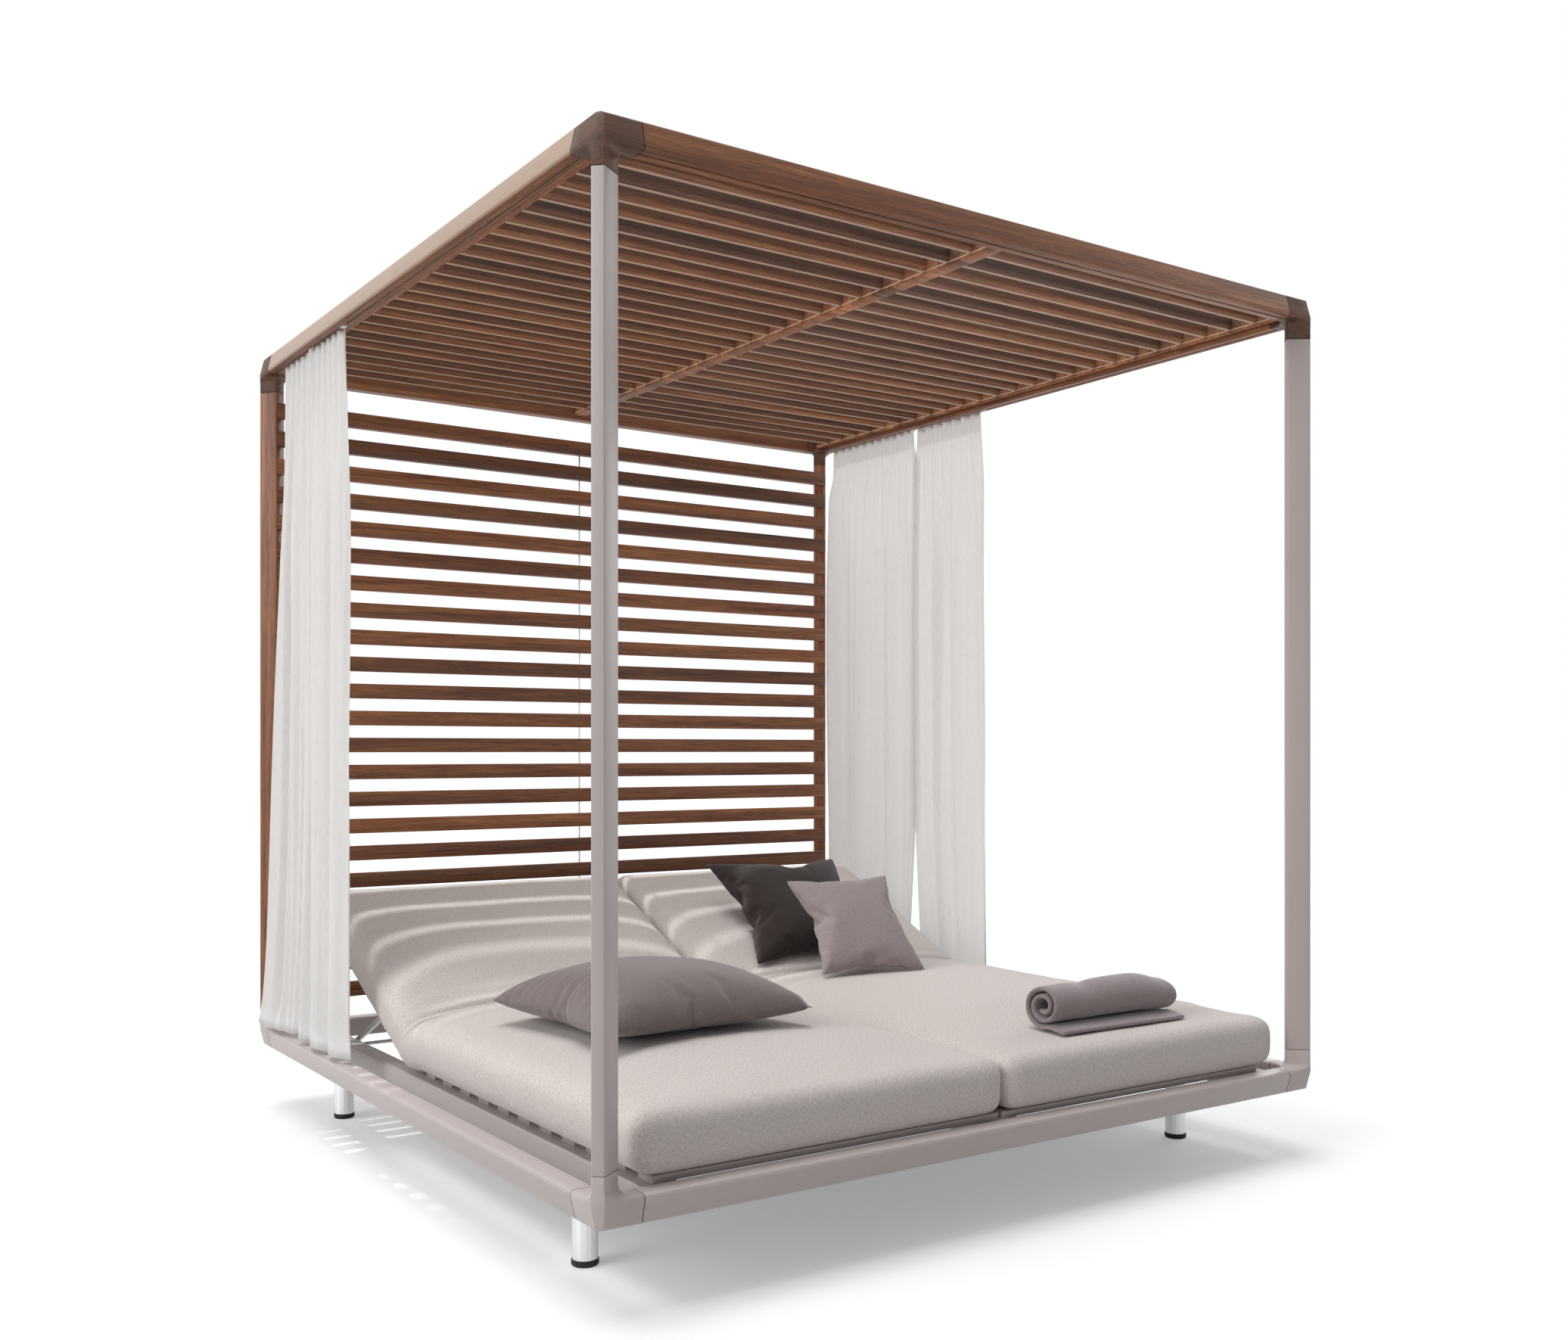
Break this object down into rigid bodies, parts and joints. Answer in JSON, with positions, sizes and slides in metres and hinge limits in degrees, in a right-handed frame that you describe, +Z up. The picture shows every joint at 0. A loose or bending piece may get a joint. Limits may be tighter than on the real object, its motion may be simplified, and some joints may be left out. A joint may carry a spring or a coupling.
{
  "type": "outdoor canopy daybed",
  "caption": "Square outdoor daybed with louvred timber canopy, slatted rear wall, side curtains, adjustable reclining mattresses and loose pillows.",
  "frame": {"origin": "on the ground, below the middle of the frame's outline", "axes": "+Z up, +Y towards the slatted rear wall, +X to the right seen from the open front"},
  "size_m": [2, 2.08, 2.126],
  "materials": {
    "frame_paint": "warm taupe powder coat, fine satin texture",
    "timber": "oiled dark hardwood, weathered grey on top",
    "bright_metal": "satin stainless steel",
    "leg_metal": "satin silver tube",
    "foot_rubber": "black moulded rubber",
    "mattress_cloth": "light greige woven outdoor cloth",
    "curtain_cloth": "white outdoor curtain cloth",
    "satin_cloth": "taupe cloth with a soft sheen",
    "dark_cloth": "dark brown-grey woven cloth",
    "pale_cloth": "light grey woven cloth",
    "throw_cloth": "taupe knitted throw",
    "runner_nylon": "white nylon"
  },
  "bodies": {
    "frame": {"base_corner_front_left": "frame_paint", "base_corner_front_right": "frame_paint", "base_corner_rear_right": "frame_paint", "base_corner_rear_left": "frame_paint", "base_beam_front": "frame_paint", "base_beam_right": "frame_paint", "base_beam_rear": "frame_paint", "base_beam_left": "frame_paint", "post_front_left": "frame_paint", "post_front_right": "frame_paint", "post_rear_right": "timber", "post_rear_left": "timber", "roof_corner_front_left": "timber", "roof_corner_front_right": "timber", "roof_corner_rear_right": "timber", "roof_corner_rear_left": "timber", "roof_beam_front": "timber", "roof_beam_right": "timber", "roof_beam_rear": "timber", "roof_beam_left": "timber", "roof_louvre_panel": "timber", "rear_wall_panel": "timber", "curtain_track_front": "bright_metal", "curtain_track_right": "bright_metal", "curtain_track_left": "bright_metal", "side_rail_left": "frame_paint", "side_rail_right": "frame_paint", "centre_rail": "frame_paint", "leg_front_left": "leg_metal", "leg_front_right": "leg_metal", "leg_rear_right": "leg_metal", "leg_rear_left": "leg_metal", "foot_cap_front_left": "foot_rubber", "foot_cap_front_right": "foot_rubber", "foot_cap_rear_right": "foot_rubber", "foot_cap_rear_left": "foot_rubber", "seat_deck_left": "frame_paint", "seat_deck_right": "frame_paint", "mattress_seat_left": "mattress_cloth", "mattress_seat_right": "mattress_cloth", "mattress_fold_left": "mattress_cloth", "mattress_fold_right": "mattress_cloth", "pillow_lying": "satin_cloth", "throw_roll": "throw_cloth", "curtain_left_rear": "curtain_cloth", "curtain_right_rear": "curtain_cloth"},
    "backrest_left": {"backrest_frame_left": "frame_paint", "mattress_back_left": "mattress_cloth"},
    "backrest_right": {"backrest_frame_right": "frame_paint", "mattress_back_right": "mattress_cloth"},
    "stay_left": {"backrest_stay_left": "bright_metal"},
    "stay_right": {"backrest_stay_right": "bright_metal"},
    "dark_pillow": {"pillow_dark": "dark_cloth"},
    "pale_pillow": {"pillow_pale": "pale_cloth"},
    "curtain_left_middle": {"curtain_runner_left_middle": "runner_nylon", "curtain_left_front": "curtain_cloth"},
    "curtain_left_lead": {"curtain_runner_left_front": "runner_nylon"},
    "curtain_right_middle": {"curtain_runner_right_middle": "runner_nylon", "curtain_right_front": "curtain_cloth"},
    "curtain_right_lead": {"curtain_runner_right_front": "runner_nylon"}
  },
  "joints": [
    {"name": "backrest_left_hinge", "type": "hinge", "parent": "frame", "child": "backrest_left", "pos_m": [-0.42825, 0.2, 0.185], "axis": [1, 0, 0], "range_deg": [-25, 37.5], "deforming": ["mattress_fold_left"]},
    {"name": "backrest_right_hinge", "type": "hinge", "parent": "frame", "child": "backrest_right", "pos_m": [0.42825, 0.2, 0.185], "axis": [1, 0, 0], "range_deg": [-25, 37.5], "deforming": ["mattress_fold_right"]},
    {"name": "stay_left_hinge", "type": "hinge", "parent": "backrest_left", "child": "stay_left", "pos_m": [-0.42825, 0.48639, 0.31855], "axis": [1, 0, 0], "range_deg": [-75, 50]},
    {"name": "stay_right_hinge", "type": "hinge", "parent": "backrest_right", "child": "stay_right", "pos_m": [0.42825, 0.48639, 0.31855], "axis": [1, 0, 0], "range_deg": [-75, 50]},
    {"name": "dark_pillow_slide", "type": "slide", "parent": "backrest_right", "child": "dark_pillow", "axis": [0, 0.9063, 0.4226], "range_m": [-0.0612, 0.0918]},
    {"name": "pale_pillow_slide", "type": "slide", "parent": "frame", "child": "pale_pillow", "axis": [0, 1, 0], "range_m": [-0.21, 0.14]},
    {"name": "curtain_left_middle_slide", "type": "slide", "parent": "frame", "child": "curtain_left_middle", "axis": [0, -1, 0], "range_m": [0, 0.63], "deforming": ["curtain_left_rear"]},
    {"name": "curtain_left_lead_slide", "type": "slide", "parent": "curtain_left_middle", "child": "curtain_left_lead", "axis": [0, -1, 0], "range_m": [0, 0.64], "deforming": ["curtain_left_front"]},
    {"name": "curtain_right_middle_slide", "type": "slide", "parent": "frame", "child": "curtain_right_middle", "axis": [0, -1, 0], "range_m": [0, 0.5], "deforming": ["curtain_right_rear"]},
    {"name": "curtain_right_lead_slide", "type": "slide", "parent": "curtain_right_middle", "child": "curtain_right_lead", "axis": [0, -1, 0], "range_m": [0, 0.56], "deforming": ["curtain_right_front"]}
  ],
  "couplings": [
    {"joint": "stay_left_hinge", "follows": "backrest_left_hinge", "ratio": -2},
    {"joint": "stay_right_hinge", "follows": "backrest_right_hinge", "ratio": -2},
    {"joint": "dark_pillow_slide", "follows": "backrest_right_hinge", "m_per_rad": 0.14},
    {"joint": "pale_pillow_slide", "follows": "backrest_right_hinge", "m_per_rad": -0.32}
  ]
}
